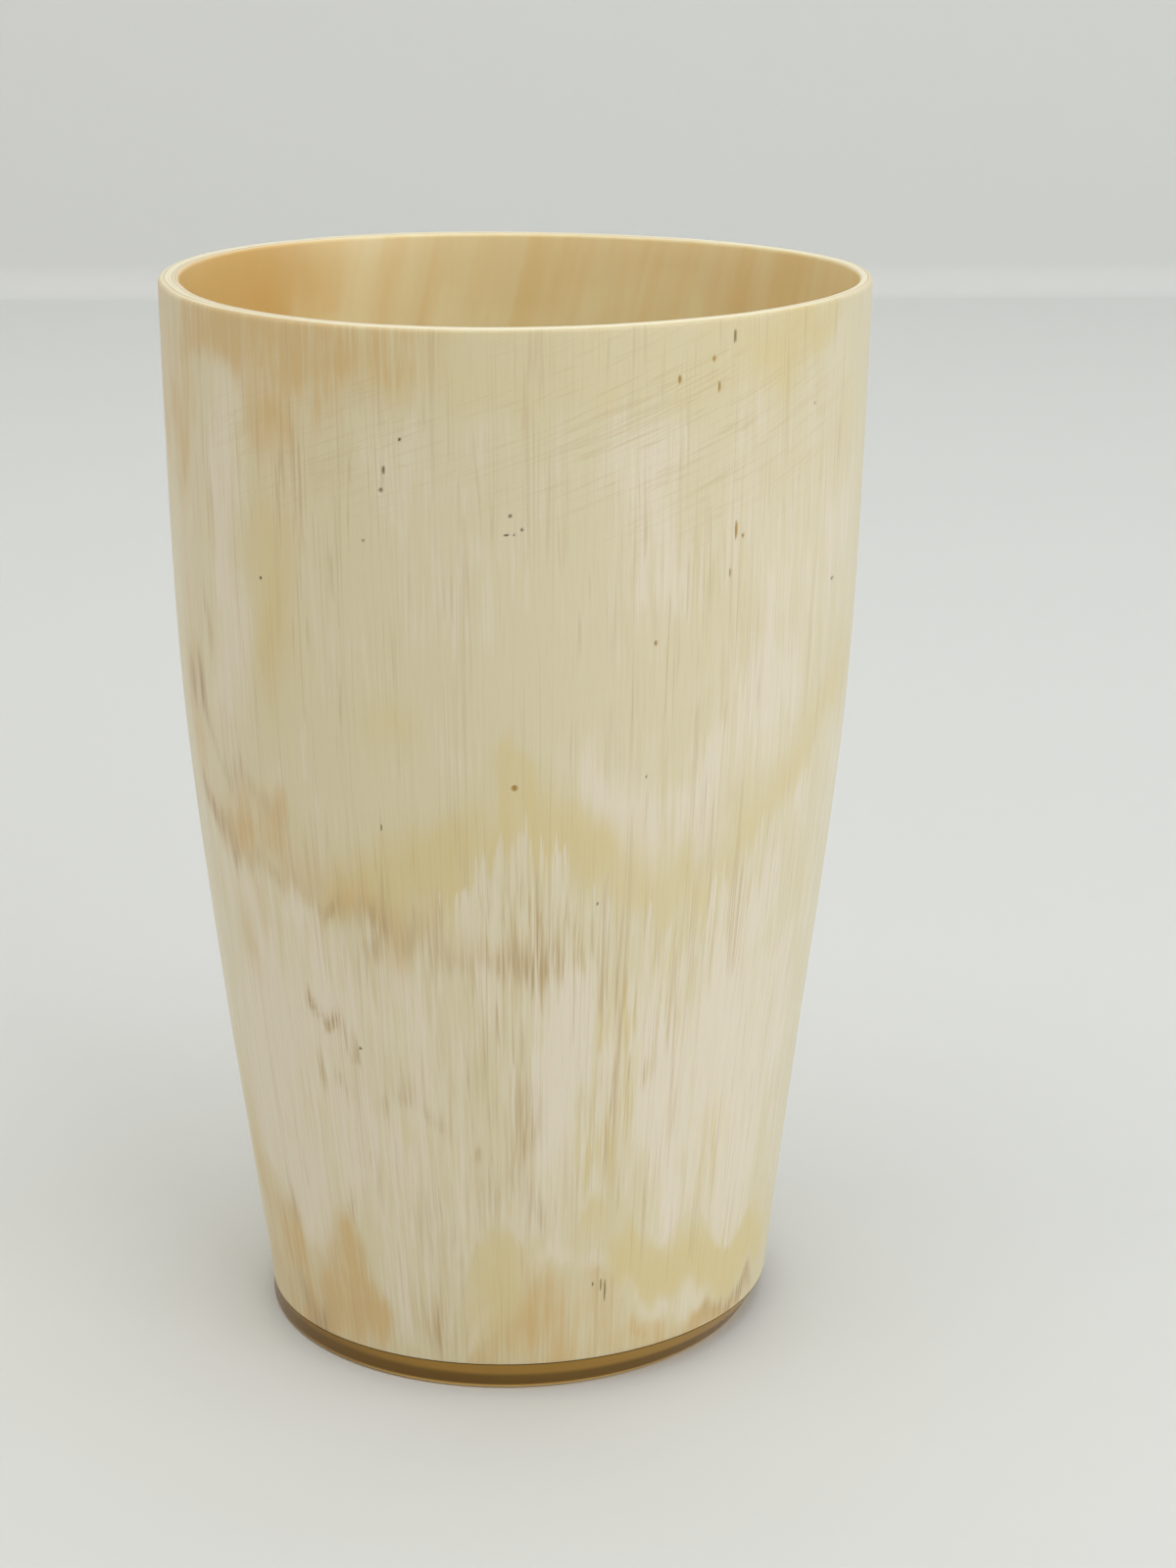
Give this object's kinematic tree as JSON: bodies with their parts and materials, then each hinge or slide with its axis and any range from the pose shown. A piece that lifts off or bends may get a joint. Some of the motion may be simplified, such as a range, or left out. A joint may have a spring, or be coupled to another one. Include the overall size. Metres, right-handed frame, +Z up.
{
  "type": "horn beaker",
  "caption": "Handleless drinking beaker: a tapered, polished horn wall with a rounded rim, closed at the foot by a glued-in horn disc.",
  "frame": {"origin": "centre of the flat foot, on the surface that the beaker stands on", "axes": "+Z up the beaker's axis towards the open rim; X and Y are free, as the beaker is round"},
  "size_m": [0.076, 0.076, 0.118],
  "materials": {
    "pale_horn": "polished cream horn, keratin with amber feathering",
    "brown_horn": "polished brown translucent horn",
    "glue": "dark cured adhesive"
  },
  "bodies": {
    "root": {"horn_body": "pale_horn", "base_disc": "brown_horn", "glue_seam": "glue"}
  },
  "joints": []
}
